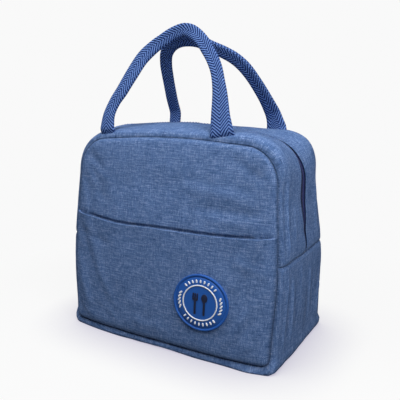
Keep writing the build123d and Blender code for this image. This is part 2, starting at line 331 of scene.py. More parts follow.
def panel_y(x, z, face, folds, stand=0.0):
    """y of a panel's outer surface, or of a layer that stands outside it, or inside if stand is negative."""
    inside = edge_distance(x, z)
    fade = 1 - np.exp(-inside / (7 * MM))
    out = face_depth(x, z, face)
    out += PUFF * (1 - np.exp(-inside / (6 * MM))) - groove(z) * np.exp(-((inside / GROOVE_WIDTH) ** 1.2))
    spots = np.stack(np.broadcast_arrays(x, z, face * 0.1 + 0 * x), -1)
    if face == FRONT:
        # The stiff patch holds the cloth round it flat
        from_patch = np.hypot(x - PATCH_AT[0], z - PATCH_AT[1])
        fade = fade * smoothstep((from_patch - 24 * MM) / (16 * MM))
    if face == FRONT and np.max(stand) <= 0:
        # The hem presses a groove into the panel just above it, and a wider one into the layers inside
        depth, width = (1.4 * MM, 1.6 * MM) if np.max(stand) == 0 else (2.4 * MM, 5 * MM)
        above_hem = (z - pocket_hem(x) - 0.5 * MM) / width
        out -= depth * np.exp(-(above_hem**2)) * smoothstep(inside / (8 * MM))
    out += SETTLE_SHARE * fade * settled_folds(x, z, face)
    waves = 0.8 * MM * ripple(spots, 34 * MM, 1) + 0.25 * MM * ripple(spots, 11 * MM, 2)
    out += fade * (creases(x, z, folds) + waves)
    return face * (out + stand)


def wall_points(s, y, depth=0.0, folded=True):
    """Points of the gusset or zip strips at outline place s and y, at a depth inside their face."""
    x, z, across, up = outline(s)
    face = np.where(y < 0, FRONT, BACK)
    seam = np.where(y < 0, seam_depth(x, z, FRONT), seam_depth(x, z, BACK))
    from_seam = np.maximum(seam - np.abs(y), 0)
    middle = smoothstep(1 - np.abs(y) / seam)
    sharp = np.exp(-((from_seam / (1.1 * MM)) ** 1.3))
    soft = np.exp(-((from_seam / (6 * MM)) ** 1.5))
    rise = 1 - 0.55 * sharp - 0.45 * soft
    drop = 1 - np.exp(-((from_seam / (1.7 * MM)) ** 1.5))
    under = np.maximum(-up, 0)
    rise = rise + (drop - rise) * under
    lip = (LIP + lip_swell(x)) * under * from_seam / (3 * MM) * np.exp(1 - from_seam / (3 * MM))
    corner = BACK_CORNER * (y > 0) * np.exp(-(((s - 0.25) / 0.045) ** 2))
    out = rise * ((1 - middle) * (ridge(s) + corner) + middle * crown(s, across, up))
    if folded:
        calm = rise * smoothstep((np.abs(y) - 5 * MM) / (9 * MM))
        spots = np.stack(np.broadcast_arrays(x, y, z), -1)
        out = out + calm * (0.7 * MM * ripple(spots, 30 * MM, 3) + 0.3 * MM * ripple(spots, 10 * MM, 4))
        out = out + calm * np.abs(across) * creases(z, np.where(x > 0, y, -y), SIDE_FOLDS)
    out = out - depth
    shift = waist(z) * across * (np.abs(y) / seam) ** 2
    points = np.stack(np.broadcast_arrays(x + across * out + shift, y + face * lip, z + up * out), -1)
    points[..., 2] = np.maximum(points[..., 2], FLOOR_GAP + depth)
    return points


# ---------------------------------------------------------------- mesh helpers


def make_mesh(name, points, faces, material, uvs=None, smooth=True, seam=None):
    """A mesh object. uvs has a pair for each point, in metres of cloth. seam is the painted shade on the
    cloth: 1 on a seam, 0 away from it, and below 0 where folds are painted lighter.
    """
    mesh = bpy.data.meshes.new(name)
    mesh.from_pydata([tuple(p) for p in points], [], [tuple(f) for f in faces])
    mesh.polygons.foreach_set("use_smooth", [smooth] * len(mesh.polygons))
    if uvs is not None:
        corner = np.zeros(len(mesh.loops), np.int64)
        mesh.loops.foreach_get("vertex_index", corner)
        layer = mesh.uv_layers.new(name="weave")
        layer.data.foreach_set("uv", np.asarray(uvs, np.float32)[corner].ravel())
    if seam is not None:
        closeness = mesh.attributes.new("seam", "FLOAT", "POINT")
        closeness.data.foreach_set("value", np.asarray(seam, np.float32).ravel())
    mesh.materials.append(material)
    obj = bpy.data.objects.new(name, mesh)
    bpy.context.scene.collection.objects.link(obj)
    return obj


def grid_faces(rows, columns, flip=False, wrap=False):
    """Quads between neighbouring points of a grid stored row by row."""
    faces = []
    for i in range(rows - 1):
        low, high = i * columns, (i + 1) * columns
        for j in range(columns if wrap else columns - 1):
            k = (j + 1) % columns
            quad = [low + j, low + k, high + k, high + j]
            faces.append(quad[::-1] if flip else quad)
    return faces


def closing_faces(rows, sides):
    """Quads from the last row back to the first, which close a ring."""
    last = (rows - 1) * sides
    return [[last + k, last + (k + 1) % sides, (k + 1) % sides, k] for k in range(sides)]


def make_grid(name, points, uvs, material, flip=False, seam=None):
    """A sheet from rows of points."""
    rows, columns = points.shape[:2]
    faces = grid_faces(rows, columns, flip)
    return make_mesh(name, points.reshape(-1, 3), faces, material, uvs.reshape(-1, 2), seam=seam)


def weave_uv(*arrays):
    return np.stack(np.broadcast_arrays(*arrays), -1)


def wear_and_fold_shade(folds):
    """Painted light and shade on folds: folds that stand out are painted paler, as if lit, and hollows are
    painted darker, as if in shade.
    """
    return -0.75 * np.clip(folds / (1.6 * MM), -0.7, 1)


def painted_seam_shade(distance):
    """Painted shade of the cloth at a distance from a seam, darkest in the seam's crevice."""
    return np.exp(-((np.abs(distance) / (1.0 * MM)) ** 1.5))


def thicken(obj, thickness):
    """Gives a sheet its thickness, all of it behind the sheet's face."""
    modifier = obj.modifiers.new("thickness", "SOLIDIFY")
    modifier.thickness = thickness
    modifier.offset = -1.0
    return obj


class Pile:
    """Collects many small shapes into one mesh."""

    def __init__(self):
        self.points, self.faces, self.uvs = [], [], []

    def add(self, points, faces, uvs=None):
        start = len(self.points)
        self.points.extend(points)
        self.faces.extend([[start + i for i in face] for face in faces])
        self.uvs.extend(uvs if uvs is not None else [(0, 0)] * len(points))

    def tube(self, path, radii, sides=6, up=(0, 0, 1)):
        """A closed tube with rounded ends along a short path."""
        path = [Vector(p) for p in path]
        rings = []
        for i, point in enumerate(path):
            ahead = path[min(i + 1, len(path) - 1)] - path[max(i - 1, 0)]
            side = ahead.cross(Vector(up)).normalized()
            lift = side.cross(ahead).normalized()
            for k in range(sides):
                angle = 2 * math.pi * k / sides
                rings.append(point + radii[i] * (side * math.cos(angle) + lift * math.sin(angle)))
        faces = grid_faces(len(path), sides, wrap=True)
        faces.append(list(range(sides))[::-1])
        faces.append([(len(path) - 1) * sides + k for k in range(sides)])
        self.add(rings, faces)

    def mesh(self, name, material):
        return make_mesh(name, self.points, self.faces, material, self.uvs)


def stitches(name, points, normals, material, spacing=3.4 * MM, length=2.5 * MM, radius=0.28 * MM):
    """A row of stitches along a line of closely spaced points, lying on the cloth."""
    points, normals = np.asarray(points, float), np.asarray(normals, float)
    travelled = np.concatenate([[0], np.cumsum(np.linalg.norm(np.diff(points, axis=0), axis=1))])
    pile = Pile()
    for start in np.arange(spacing / 2, travelled[-1] - length, spacing):
        spots = [start, start + length * 0.18, start + length * 0.5, start + length * 0.82, start + length]
        lifts = (-0.35, 0.35, 0.6, 0.35, -0.35)
        path = []
        for spot, lift in zip(spots, lifts):
            place = np.array([np.interp(spot, travelled, points[:, k]) for k in range(3)])
            normal = np.array([np.interp(spot, travelled, normals[:, k]) for k in range(3)])
            path.append(place + normal / np.linalg.norm(normal) * lift * radius * 1.3)
        radii = [radius * share for share in (0.5, 0.9, 1, 0.9, 0.5)]
        pile.tube(path, radii, sides=5, up=normals[0] + (0.01, 0.02, 0.03))
    return pile.mesh(name, material)


# ---------------------------------------------------------------- materials


class Paint:
    """Builds one node material. Most calls add a node and give its output."""

    def __init__(self, name, roughness=0.8, **sockets):
        self.material = bpy.data.materials.new(name)
        self.material.use_nodes = True
        self.tree = self.material.node_tree
        self.shader = self.tree.nodes["Principled BSDF"]
        self.set(self.shader, "Roughness", roughness)
        for socket, value in sockets.items():
            self.set(self.shader, socket.replace("_", " "), value)

    def set(self, node, socket, value):
        if isinstance(value, bpy.types.NodeSocket):
            self.tree.links.new(value, node.inputs[socket])
        else:
            node.inputs[socket].default_value = value

    def node(self, kind, inputs=(), output=0, **settings):
        node = self.tree.nodes.new("ShaderNode" + kind)
        for key, value in settings.items():
            setattr(node, key, value)
        for socket, value in dict(inputs).items():
            self.set(node, socket, value)
        return node.outputs[output]

    def math(self, operation, a, b=0.0):
        return self.node("Math", {0: a, 1: b}, operation=operation)

    def plus(self, a, b):
        return self.math("ADD", a, b)

    def times(self, a, b):
        return self.math("MULTIPLY", a, b)

    def over(self, a, b):
        return self.math("DIVIDE", a, b)

    def sine(self, a):
        return self.math("SINE", a)

    def uv(self):
        """Metres along the cloth, across and down its weave."""
        place = self.node("UVMap", uv_map="weave")
        split = self.tree.nodes.new("ShaderNodeSeparateXYZ")
        self.tree.links.new(place, split.inputs[0])
        return split.outputs[0], split.outputs[1]

    def vector(self, x, y, z=0.0):
        return self.node("CombineXYZ", {0: x, 1: y, 2: z})

    def noise(self, vector, scale=1.0, detail=2.0, roughness=0.5):
        inputs = {"Vector": vector, "Scale": scale, "Detail": detail, "Roughness": roughness}
        return self.node("TexNoise", inputs)

    def place(self):
        """The point's place in its piece's own coordinates."""
        return self.node("TexCoord", output=3)

    def ramp(self, factor, *stops):
        node = self.tree.nodes.new("ShaderNodeValToRGB")
        ramp = node.color_ramp
        while len(ramp.elements) < len(stops):
            ramp.elements.new(0.5)
        for element, (position, colour) in zip(ramp.elements, stops):
            element.position = position
            element.color = (*colour, 1)
        self.set(node, 0, factor)
        return node.outputs[0]

    def mix(self, factor, a, b, blend="MIX"):
        node = self.tree.nodes.new("ShaderNodeMix")
        node.data_type = "RGBA"
        node.blend_type = blend
        for socket, value in ((0, factor), (6, a), (7, b)):
            if isinstance(value, tuple):
                value = (*value, 1)
            self.set(node, socket, value)
        return node.outputs[2]

    def span(self, value, low, high):
        """value, from 0 to 1, moved to the range from low to high."""
        return self.plus(self.times(value, high - low), low)

    def grey(self, value):
        return self.node("CombineColor", {0: value, 1: value, 2: value})

    def finish(self, colour, height=None, bump=0.1 * MM, strength=0.5, roughness=None):
        self.set(self.shader, "Base Color", colour)
        if height is not None:
            normal = self.node("Bump", {"Height": height, "Distance": bump, "Strength": strength})
            self.set(self.shader, "Normal", normal)
        if roughness is not None:
            self.set(self.shader, "Roughness", roughness)
        return self.material


def linear(red, green, blue):
    """A display colour from 0 to 255 as the renderer's own values."""
    shares = [value / 255 for value in (red, green, blue)]
    return tuple(((share + 0.055) / 1.055) ** 2.4 if share > 0.0404 else share / 12.92 for share in shares)


def woven(name, dark, middle, light, pitch, slub, **sockets):
    """Plain weave of melange yarns, with a shade of its own for each thread that changes along the thread.
    Painted shade darkens the gaps between threads and the seams and fold hollows that the mesh's seam value
    marks, and painted light brightens thread crowns and fold crests.
    """
    paint = Paint(name, roughness=0.86, **sockets)
    u, v = paint.uv()
    across, down = paint.over(u, pitch), paint.over(v, pitch)
    column, row = paint.math("FLOOR", across), paint.math("FLOOR", down)
    over = paint.math("PINGPONG", paint.plus(column, row), 1.0)
    warp_round = paint.sine(paint.times(paint.math("FRACT", across), math.pi))
    weft_round = paint.sine(paint.times(paint.math("FRACT", down), math.pi))
    warp_place = paint.vector(paint.times(column, 3.71), paint.over(v, slub))
    weft_place = paint.vector(paint.over(u, slub), paint.times(row, 3.71), 9.0)
    warp_streak = paint.vector(paint.over(u, 1.2 * MM), paint.over(v, 11 * MM), 4.0)
    weft_streak = paint.vector(paint.over(u, 15 * MM), paint.over(v, 1.2 * MM), 7.0)
    warp_shade = paint.noise(warp_place, 1, 1.5)
    weft_shade = paint.noise(weft_place, 1, 1.5)
    coarse_warp = paint.noise(warp_streak, 1, 2)
    coarse_weft = paint.noise(weft_streak, 1, 2)
    shade = paint.node("Mix", {0: over, 2: weft_shade, 3: warp_shade})
    coarse = paint.node("Mix", {0: 0.62, 2: coarse_warp, 3: coarse_weft})
    tone = paint.plus(paint.times(shade, 0.5), paint.times(coarse, 0.5))
    colour = paint.ramp(tone, (0.34, dark), (0.5, middle), (0.66, light))
    warp_height = paint.times(warp_round, paint.span(over, 0.35, 1.0))
    weft_height = paint.times(weft_round, paint.span(over, 1.0, 0.35))
    height = paint.plus(warp_height, weft_height)
    # Painted shade in the gaps between threads and painted light on their crowns, from the weave's height
    gap = paint.span(paint.times(height, 0.8), 0.72, 1.12)
    colour = paint.mix(1.0, colour, paint.grey(gap), "MULTIPLY")
    cloudy = paint.span(paint.noise(paint.vector(u, v), 26, 2), 0.9, 1.1)
    colour = paint.mix(1.0, colour, paint.grey(cloudy), "MULTIPLY")
    # Painted shade and light: the mesh's seam value darkens the cloth at seams and fold hollows and lightens
    # fold crests
    seam = paint.node("Attribute", output=2, attribute_name="seam")
    colour = paint.mix(1.0, colour, paint.grey(paint.span(seam, 1.0, 0.6)), "MULTIPLY")
    return paint.finish(colour, paint.plus(height, coarse), 0.16 * MM, 0.55)


def herringbone(name, dark, middle, light):
    """Webbing: strands that lean one way and then the other in columns along the band."""
    paint = Paint(name, roughness=0.82, Specular_IOR_Level=0.25)
    u, v = paint.uv()
    zig = paint.math("PINGPONG", u, 8 * MM)
    strand = paint.over(paint.plus(v, paint.times(zig, 1.05)), 3.2 * MM)
    wave = paint.span(paint.sine(paint.times(strand, 2 * math.pi)), 0.5, 1.05)
    yarn_place = paint.vector(paint.math("FLOOR", strand), paint.over(u, 3 * MM), 2.0)
    yarn = paint.noise(yarn_place, 1.7, 2)
    crossing_strand = paint.math("SUBTRACT", v, paint.times(zig, 0.9))
    fine = paint.sine(paint.over(crossing_strand, 0.13 * MM))
    tone = paint.plus(paint.times(wave, 0.8), paint.times(yarn, 0.3))
    tone = paint.plus(tone, paint.times(fine, 0.05))
    colour = paint.ramp(tone, (0.18, dark), (0.52, middle), (0.9, light))
    return paint.finish(colour, paint.plus(wave, paint.times(fine, 0.12)), 0.5 * MM, 0.7)


def ribbed(name, dark, light, pitch=0.9 * MM):
    """Close-woven tape with fine ribs across it."""
    paint = Paint(name, roughness=0.78)
    u, v = paint.uv()
    rib = paint.sine(paint.times(u, 2 * math.pi / pitch))
    cross = paint.sine(paint.times(v, 2 * math.pi / (0.6 * pitch)))
    tone = paint.plus(paint.times(rib, 0.3), paint.times(cross, 0.2))
    fleck_place = paint.vector(paint.over(u, 2 * MM), paint.over(v, 2 * MM))
    fleck = paint.noise(fleck_place, 1.5, 3)
    colour = paint.ramp(paint.plus(tone, fleck), (0.2, dark), (0.85, light))
    return paint.finish(colour, tone, 0.12 * MM, 0.6)


def moulded(name, colour, wear_and_fold_shade, roughness=0.45, metallic=0.0, grain=900, coat=0.0):
    """Moulded or enamelled surface with a fine grain and faint rubbed patches."""
    paint = Paint(name, Metallic=metallic, Coat_Weight=coat)
    place = paint.place()
    speck = paint.noise(place, grain, 2)
    patchy = paint.noise(place, 90, 3)
    mixed = paint.mix(paint.span(patchy, -0.25, 0.75), colour, wear_and_fold_shade)
    rough = paint.span(patchy, roughness - 0.08, roughness + 0.12)
    return paint.finish(mixed, speck, 0.05 * MM, 0.35, rough)


def foil(name):
    """Foil laminate: bright, crinkled in small facets."""
    paint = Paint(name, Metallic=1.0)
    place = paint.place()
    facets = paint.node("TexVoronoi", {"Vector": place, "Scale": 130.0})
    wrinkle = paint.noise(place, 60, 4, 0.6)
    height = paint.plus(facets, wrinkle)
    colour = paint.ramp(wrinkle, (0.3, linear(176, 180, 186)), (0.7, linear(222, 225, 230)))
    return paint.finish(colour, height, 1.2 * MM, 0.5, paint.span(wrinkle, 0.22, 0.42))


def foam(name):
    """Pale closed-cell foam."""
    paint = Paint(name, roughness=0.9)
    cells = paint.node("TexVoronoi", {"Vector": paint.place(), "Scale": 900.0})
    colour = paint.ramp(cells, (0.0, linear(206, 206, 200)), (0.7, linear(236, 236, 232)))
    return paint.finish(colour, cells, 0.2 * MM, 0.5)


def thread(name, dark, light):
    """Twisted sewing thread."""
    paint = Paint(name, roughness=0.55, Sheen_Weight=0.2)
    waves = {"Vector": paint.place(), "Scale": 700.0, "Distortion": 1.0}
    twist = paint.node("TexWave", waves, bands_direction="DIAGONAL")
    return paint.finish(paint.ramp(twist, (0.1, dark), (0.9, light)), twist, 0.08 * MM, 0.6)


BLUE_DARK, BLUE, BLUE_LIGHT = linear(54, 80, 126), linear(88, 118, 167), linear(140, 162, 206)
CLOTH_BLUE = woven("melange cloth", BLUE_DARK, BLUE, BLUE_LIGHT, 0.72 * MM, 4 * MM, Specular_IOR_Level=0.2)
WEBBING = herringbone("herringbone webbing", linear(14, 38, 92), linear(50, 84, 150), linear(104, 136, 196))
TAPE = ribbed("zipper tape", linear(34, 42, 92), linear(70, 80, 142))
BINDING = ribbed("binding tape", linear(40, 56, 92), linear(78, 98, 142), 1.3 * MM)
COIL = moulded("nylon coil", linear(28, 34, 72), linear(44, 52, 98), 0.35)
ENAMEL = moulded("enamelled metal", linear(34, 42, 82), linear(66, 76, 118), 0.3, 0.6, 500, 0.4)
RUBBER = moulded("blue rubber", linear(28, 92, 178), linear(22, 80, 162), 0.5)
WHITE_RUBBER = moulded("white rubber", linear(240, 243, 248), linear(226, 231, 240), 0.5)
NAVY_RUBBER = moulded("navy rubber", linear(22, 30, 58), linear(30, 40, 74), 0.45)
BOARD = moulded("board plastic", linear(222, 222, 218), linear(206, 206, 202), 0.5)
FOIL = foil("crinkled foil")
FOAM = foam("closed-cell foam")
THREAD = thread("blue thread", linear(50, 76, 126), linear(104, 134, 186))


# ---------------------------------------------------------------- how the panels settle

SETTLE_COLUMNS, SETTLE_ROWS = 72, 64
SETTLE_FRAMES = 18
SETTLE_SLACK = 0.009  # the cloth is cut this much too large, so that it buckles
SETTLE_LIMIT = 1.1 * MM
SETTLE_SHARE = 0.6


def smoothed(field, passes):
    """The field with its small waves taken out."""
    for _ in range(passes):
        padded = np.pad(field, 2, mode="edge")
        columns = sum(padded[:, k : k + field.shape[1]] for k in range(5)) / 5
        field = sum(columns[k : k + field.shape[0]] for k in range(5)) / 5
    return field


def settled(face):
    """Folds of a panel by cloth simulation: pinned at its seams, slightly too large, pressed out by its foam.

    Gives how far the folds stand out at even steps across and up the panel, and leaves its broad shape out.
    """
    shape = (SETTLE_ROWS, SETTLE_COLUMNS)
    across = np.linspace(-1, 1, SETTLE_COLUMNS) * HALF_WIDTH
    low, high = edge_heights(across)
    z = low + (high - low) * np.linspace(0, 1, SETTLE_ROWS)[:, None]
    x = across + 0 * z
    flat = face_depth(x, z, face)
    start = np.stack([x, face * flat, z], -1)
    cloth = make_grid("settling_cloth", start, weave_uv(x, z), CLOTH_BLUE, face == BACK)
    seams = np.zeros(shape, bool)
    seams[[0, -1]] = True
    seams[:, [0, -1]] = True
    cloth.vertex_groups.new(name="seams").add(np.flatnonzero(seams).tolist(), 1.0, "REPLACE")
    settings = cloth.modifiers.new("cloth", "CLOTH").settings
    settings.vertex_group_mass = "seams"
    settings.quality = 6
    settings.mass = 0.2
    settings.bending_stiffness = 0.6
    settings.shrink_min = -SETTLE_SLACK
    settings.use_pressure = True
    settings.uniform_pressure_force = 0.6
    settings.effector_weights.gravity = 0.25
    for step in range(1, SETTLE_FRAMES + 1):
        bpy.context.scene.frame_set(step)
    drawn = cloth.evaluated_get(bpy.context.evaluated_depsgraph_get()).data
    places = np.zeros(3 * len(drawn.vertices))
    drawn.vertices.foreach_get("co", places)
    moved = face * places.reshape(*shape, 3)[..., 1] - flat
    bpy.data.objects.remove(cloth)
    bpy.context.scene.frame_set(1)
    return np.clip(moved - smoothed(moved, 8), -SETTLE_LIMIT, SETTLE_LIMIT)


SETTLED = {face: settled(face) for face in (FRONT, BACK)}

# ---------------------------------------------------------------- panels and pocket


def spread(count, low=0.0, high=1.0):
    """Numbers from low to high, close together at both ends."""
    return low + (high - low) * (1 - np.cos(np.linspace(0, math.pi, count))) / 2


def panel_grid(rows=84, columns=112, extra=()):
    """x and z of a panel's points, close together at the seams, with more rows at the extra heights."""
    x = HALF_WIDTH * (2 * spread(columns) - 1)
    low, high = edge_heights(x)
    more = (np.asarray(extra, float) - SEAM_LOW) / (SEAM_TOP - SEAM_LOW)
    share = np.unique(np.concatenate([spread(rows), more]))[:, None]
    return np.broadcast_to(x, (len(share), columns)), low + (high - low) * share


def widen(points):
    """Moves panel points sideways with the waist of the seams."""
    points[..., 0] += np.sign(points[..., 0]) * (points[..., 0] / HALF_WIDTH) ** 2 * waist(points[..., 2])
    return points


def panel(name, face, folds):
    """The outer cloth of the front or the back."""
    if face == FRONT:
        x, z = panel_grid(extra=np.arange(112, 126, 0.7) * MM)
    else:
        x, z = panel_grid()
    y = panel_y(x, z, face, folds)
    folded = creases(x, z, folds) + SETTLE_SHARE * settled_folds(x, z, face)
    # Painted shade at the seams, and painted light and shade on the folds, carried by the mesh's seam value
    seam = painted_seam_shade(edge_distance(x, z)) + 0.5 * wear_and_fold_shade(folded)
    # Painted shadow along the line just above the pocket's hem
    if face == FRONT:
        seam = np.maximum(seam, painted_seam_shade(z - pocket_hem(x) - 0.4 * MM))
    points = widen(np.stack([x, y, z], -1))
    obj = make_grid(name, points, weave_uv(x, z), CLOTH_BLUE, flip=face == BACK, seam=seam)
    return thicken(obj, CLOTH)


def pocket_hem(x):
    """Height of the pocket's top edge, which sags between its ends."""
    level = POCKET_TOP + 3.2 * MM - 4.4 * MM * (1 - np.abs(x / HALF_WIDTH) ** 3.5)
    return level - 1.4 * MM * np.exp(-(((x + 48 * MM) / (26 * MM)) ** 2))


def pocket_stand(x, z):
    """How far the pocket stands off the panel: sewn down round three sides, slightly open at its top."""
    inside = np.minimum(HALF_WIDTH - np.abs(x), edge_distance(x, np.minimum(z, POCKET_TOP - 20 * MM)))
    loose = 1 - np.exp(-np.maximum(inside, 0) / (3 * MM))
    near_hem = np.exp(-((pocket_hem(x) - z) / (16 * MM)))
    return 0.5 * MM + loose * (1.3 + 1.1 * near_hem) * MM


def pocket_y(x, z):
    return panel_y(x, z, FRONT, POCKET_FOLDS, pocket_stand(x, z))


def pocket():
    """The front pocket, its hem turned in at the top."""
    columns, rows = 112, 60
    x = HALF_WIDTH * (2 * spread(columns) - 1)
    low, _ = edge_heights(x)
    hem = pocket_hem(x)
    z = low + (hem - low) * spread(rows)[:, None]
    x = np.broadcast_to(x, z.shape)
    face = np.stack([x, pocket_y(x, z), z], -1)
    turned = []
    for back, down in ((0.3, -0.3), (0.7, -0.2), (0.9, 0.4), (0.95, 4), (0.95, 13)):
        row = face[-1].copy()
        row[:, 2] = hem - down * MM
        row[:, 1] = pocket_y(row[:, 0], row[:, 2]) + back * MM
        row[:, 0] *= 1 - 0.02 * back
        turned.append(row)
    points = np.concatenate([face, np.array(turned)])
    along = np.concatenate([z, z[-1:] + np.arange(1, len(turned) + 1)[:, None] * MM])
    # Painted shade along the pocket's sewn edges
    seam = painted_seam_shade(edge_distance(points[..., 0], np.minimum(points[..., 2], POCKET_TOP - 20 * MM)))
    points = widen(points)
    uvs = weave_uv(points[..., 0], along)
    obj = make_grid("front_pocket_cloth", points, uvs, CLOTH_BLUE, seam=seam)
    return thicken(obj, 0.5 * MM)


# ---------------------------------------------------------------- gusset and zip strips


def seam_groove(s, points, normal_x, normal_z):
    """Pulls cloth in towards the seams between the zip strips and the gusset."""
    distance = np.abs(np.abs(s) - S_GUSSET) * HALF_LENGTH
    dip = 1.6 * MM * np.exp(-((distance / (1.5 * MM)) ** 1.3))
    points[..., 0] -= normal_x * dip
    points[..., 2] -= normal_z * dip
    return points


def wall_painted_shade(s, y, front, back):
    """Painted shade of the wall cloth near the seams round it, with painted light on its folds' crests and
    painted shade in their hollows.
    """
    x, z, across, _ = outline(s)
    folds = wear_and_fold_shade(np.abs(across) * creases(z, np.where(x > 0, y, -y), SIDE_FOLDS))
    crossed = painted_seam_shade((np.abs(np.where(s > 1, 2 - s, s)) - S_GUSSET) * HALF_LENGTH)
    return np.maximum(painted_seam_shade(np.minimum(np.abs(y + front), np.abs(back - y))), crossed + 0 * y) + folds


def wall_rows(inner):
    """Share of the way from the seam to the zipper or middle: close together at the seam."""
    near = np.array([0, 0.008, 0.02, 0.035, 0.055, 0.08, 0.11, 0.15, 0.2])
    return np.concatenate([near, np.linspace(0.26, 1, inner)])


def wall_columns(start, end, inner):
    """Places along the outline from start to end: close together at both ends, where the cross seams are."""
    close = spread(9)[:5] * 0.02
    s = np.concatenate([start + close, np.linspace(start + 0.012, end - 0.012, inner), end - close[::-1]])
    return np.unique(np.round(s, 6))


def slit(s):
    """Half the gap between the two strips, which gapes on the right and gives the slider room on the left."""
    s = np.asarray(s, float)
    run_end, run_top = s_at_height(97 * MM), s_at_height(172 * MM)
    run = smoothstep((-s - run_top) / 0.03) * smoothstep((run_end + s) / 0.012)
    right = 5.8 * MM * np.exp(-(((s - s_at_height(152 * MM)) / 0.085) ** 2))
    return 1.1 * MM + right + 4.4 * MM * run


def zip_strip(name, face):
    """The cloth between a panel and the zipper, over the top from gusset to gusset, its edge turned under."""
    s = wall_columns(-S_GUSSET, S_GUSSET, 250)
    x, z, across, up = outline(s)
    seam = seam_depth(x, z, face)
    edge = slit(s)
    rows, along = [], []
    for share in wall_rows(18):
        y = face * (seam + (edge - seam) * share)
        rows.append(wall_points(s, y))
        along.append(y)
    for inward, down in ((-0.15, 0.35), (0.05, 0.8), (0.6, 1.1), (3, 1.15), (6, 1.15)):
        y = face * (edge + inward * MM)
        rows.append(wall_points(s, y, depth=down * MM))
        along.append(y - face * (2 * inward + down) * MM)
    points = np.array(rows)
    points = seam_groove(s, points, across, up)
    uv = weave_uv(s[None, :] * HALF_LENGTH, np.array(along))
    # Painted shade at the seams, and painted light and shade on the folds
    darkness = wall_painted_shade(s, np.array(along), front=seam, back=seam)
    obj = make_grid(name, points, uv, CLOTH_BLUE, flip=face == BACK, seam=darkness)
    return thicken(obj, 0.45 * MM)


def lower_gusset():
    """The cloth under the bag and up its sides, from the front panel's seam to the back panel's."""
    s = wall_columns(S_GUSSET, 2 - S_GUSSET, 210)
    x, z, across, up = outline(s)
    front, back = seam_depth(x, z, FRONT), seam_depth(x, z, BACK)
    shares = wall_rows(16)
    along = [-front * (1 - share) for share in shares] + [back * (1 - share) for share in shares[-2::-1]]
    points = np.array([wall_points(s, y) for y in along])
    points = seam_groove(np.where(s > 1, 2 - s, s), points, across, up)
    uv = weave_uv(s[None, :] * HALF_LENGTH, np.array(along))
    # Painted shade at the seams, and painted light and shade on the folds
    darkness = wall_painted_shade(s, np.array(along), front, back)
    obj = make_grid("lower_gusset_cloth", points, uv, CLOTH_BLUE, seam=darkness)
    return thicken(obj, CLOTH)


# ---------------------------------------------------------------- build the cloth


def crossing(obj, face, *nodes, slot):
    """Bakes a piece's place into its mesh and hides the frame's parts that it stands for."""
    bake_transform(obj)
    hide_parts(*nodes)


def riding(obj, *nodes, slot):
    """Makes a piece stay with the lower bag."""
    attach(obj, "lower_bag")
    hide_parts(*nodes)


front_panel = panel("front_panel_cloth", FRONT, FRONT_FOLDS)
back_panel = panel("back_panel_cloth", BACK, BACK_FOLDS)
front_strip = zip_strip("front_zip_strip", FRONT)
back_strip = zip_strip("back_zip_strip", BACK)
gusset = lower_gusset()
pocket_cloth = pocket()
crossing(front_panel, FRONT, "front_panel_lower", "front_panel_upper", slot="outer_fabric")
crossing(back_panel, BACK, "back_panel_lower", "back_panel_upper", slot="outer_fabric")
crossing(front_strip, FRONT, "front_zip_panel", "front_zip_panel_ends", slot="outer_fabric")
crossing(back_strip, BACK, "back_zip_panel", "back_zip_panel_ends", slot="outer_fabric")
crossing(pocket_cloth, FRONT, "front_pocket", slot="outer_fabric")
riding(gusset, "lower_gusset", slot="outer_fabric")


# ---------------------------------------------------------------- zipper

S_ZIP = s_at_height(97 * MM)
TAPE_DEPTH = 2.0 * MM
COIL_DEPTH = 1.4 * MM


def zip_tape(name, face):
    """The tape one side of the zipper is woven to."""
    s = np.linspace(-S_ZIP, S_ZIP, 260)
    y = face * np.array([0.5, 2, 4, 6.5, 9, 11.5, 14])[:, None] * MM
    points = wall_points(s[None, :], y + 0 * s, depth=TAPE_DEPTH, folded=False)
    obj = make_grid(name, points, weave_uv(s[None, :] * HALF_LENGTH, y + 0 * s), TAPE, flip=face == FRONT)
    return thicken(obj, 0.5 * MM)


def zip_coil(name, face):
    """One side of the coil: loops that reach just past the middle, between the other side's loops."""
    pitch = 1.3 * MM / HALF_LENGTH
    s = np.arange(-S_ZIP, S_ZIP, pitch) + (0 if face == FRONT else pitch / 2)
    reach = face * np.array([-0.35, 0.4, 1.2, 2.2]) * MM
    points = wall_points(s[:, None], reach + 0 * s[:, None], depth=COIL_DEPTH, folded=False)
    _, _, across, up = outline(s)
    pile = Pile()
    for loop, side, lift in zip(points, across, up):
        lifted = [Vector(p) + Vector((side, 0, lift)) * h * MM for p, h in zip(loop, (-0.2, 0.1, 0.1, -0.5))]
        pile.tube(lifted, [k * MM for k in (0.36, 0.44, 0.42, 0.3)], sides=6, up=(side, 0.01, lift + 0.001))
    return pile.mesh(name, COIL)


def zip_stitches(name, face):
    """The row of stitches beside the zipper."""
    s = np.linspace(-S_ZIP, S_ZIP, 500)
    points = wall_points(s, face * (slit(s) + 2.6 * MM))
    _, _, across, up = outline(s)
    return stitches(name, points, np.stack([across, 0 * s, up], -1), THREAD)


def end_stops():
    """The folded metal stop at each end of the zipper."""
    pile = Pile()
    for side in (-1, 1):
        s = side * s_at_height(97.6 * MM)
        across = np.linspace(-3.4, 3.4, 9) * MM
        line = wall_points(np.full(9, s), across, depth=1.5 * MM, folded=False)
        radii = [radius * MM for radius in (0.5, 0.8, 0.9, 0.95, 0.95, 0.95, 0.9, 0.8, 0.5)]
        pile.tube(line, radii, sides=8, up=(side, 0, 0))
    return pile.mesh("zip_end_stops", ENAMEL)


# ---------------------------------------------------------------- handles

